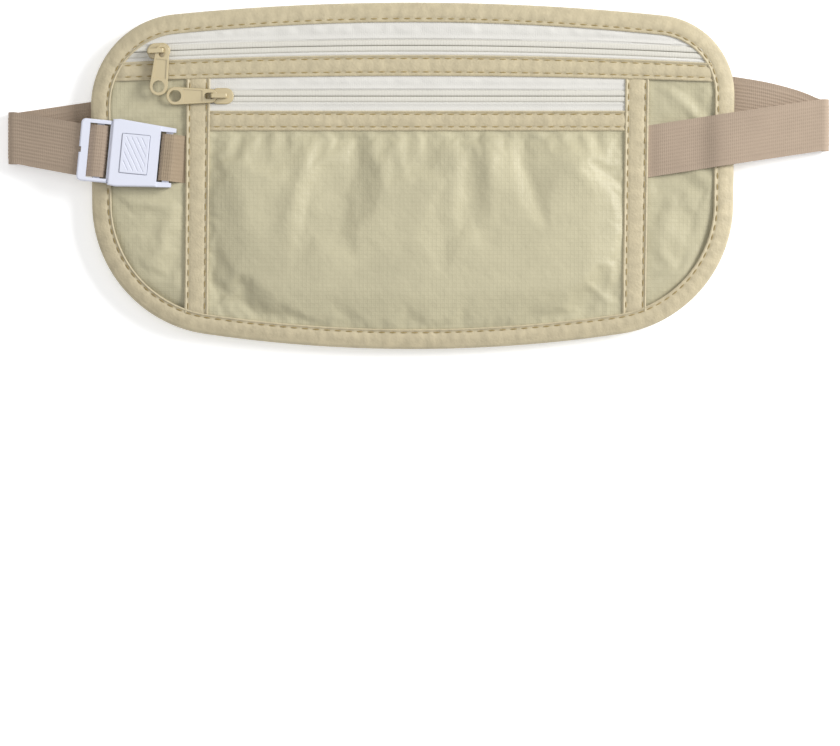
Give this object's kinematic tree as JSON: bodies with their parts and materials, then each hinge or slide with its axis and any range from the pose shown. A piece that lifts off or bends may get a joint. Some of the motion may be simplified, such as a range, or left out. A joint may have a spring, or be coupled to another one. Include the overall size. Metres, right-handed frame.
{
  "type": "money belt",
  "caption": "Flat waist money belt: nylon pouch with two zip pockets, bound edges, and an elastic strap with a centre-release buckle.",
  "frame": {"origin": "on the table, under the middle of the whole belt between its two strap folds", "axes": "+X along the belt to the wearer-side right of the front view, +Y to the pouch's top edge, +Z out of the pouch's front"},
  "size_m": [0.356, 0.15, 0.0158],
  "materials": {
    "ripstop": "khaki coated ripstop nylon",
    "binding": "khaki woven binding tape",
    "zip_tape": "off-white woven zip tape",
    "zip_coil": "off-white nylon coil",
    "elastic": "taupe ribbed woven elastic",
    "webbing": "light taupe ribbed webbing",
    "buckle_plastic": "white satin moulded plastic",
    "enamelled_metal": "beige enamel on die-cast metal"
  },
  "bodies": {
    "pouch": {"back_panel": "ripstop", "main_front_panel": "ripstop", "front_pocket_panel": "ripstop", "edge_binding": "binding", "upper_binding_strip": "binding", "lower_binding_strip": "binding", "left_binding": "binding", "right_binding": "binding", "top_zip_tape_upper": "zip_tape", "top_zip_tape_lower": "zip_tape", "top_zip_coil_upper": "zip_coil", "top_zip_coil_lower": "zip_coil", "pocket_zip_tape_upper": "zip_tape", "pocket_zip_tape_lower": "zip_tape", "pocket_zip_coil_upper": "zip_coil", "pocket_zip_coil_lower": "zip_coil", "elastic_strap": "elastic", "webbing_tab": "webbing", "buckle_body": "buckle_plastic"},
    "top_zip_slider": {"top_zip_slider": "enamelled_metal"},
    "top_zip_pull": {"top_zip_pull": "enamelled_metal"},
    "pocket_zip_slider": {"pocket_zip_slider": "enamelled_metal"},
    "pocket_zip_pull": {"pocket_zip_pull": "enamelled_metal"},
    "buckle_latch": {"buckle_latch": "buckle_plastic"},
    "release_button": {"release_button": "buckle_plastic"}
  },
  "joints": [
    {"name": "top_zip_travel", "type": "hinge", "parent": "pouch", "child": "top_zip_slider", "pos_m": [-0.0036, -2.3453, 0.00875], "axis": [0, 0, -1], "range_deg": [0, 5.3]},
    {"name": "top_pull_swivel", "type": "hinge", "parent": "top_zip_slider", "child": "top_zip_pull", "pos_m": [-0.11048, 0.05382, 0.01275], "axis": [0, 0, 1], "range_deg": [0, 180]},
    {"name": "pocket_zip_travel", "type": "slide", "parent": "pouch", "child": "pocket_zip_slider", "axis": [1, 0, 0], "range_m": [0, 0.165]},
    {"name": "pocket_pull_lift", "type": "hinge", "parent": "pocket_zip_slider", "child": "pocket_zip_pull", "pos_m": [-0.08748, 0.0343, 0.01125], "axis": [0, 1, 0], "range_deg": [0, 120]},
    {"name": "buckle_slide", "type": "slide", "parent": "pouch", "child": "buckle_latch", "axis": [-0.9954, 0.0958, 0], "range_m": [0, 0.022], "deforming": ["elastic_strap"]},
    {"name": "button_press", "type": "slide", "parent": "pouch", "child": "release_button", "axis": [0, 0, -1], "range_m": [0, 0.0012], "stiffness_N_per_m": 800}
  ]
}
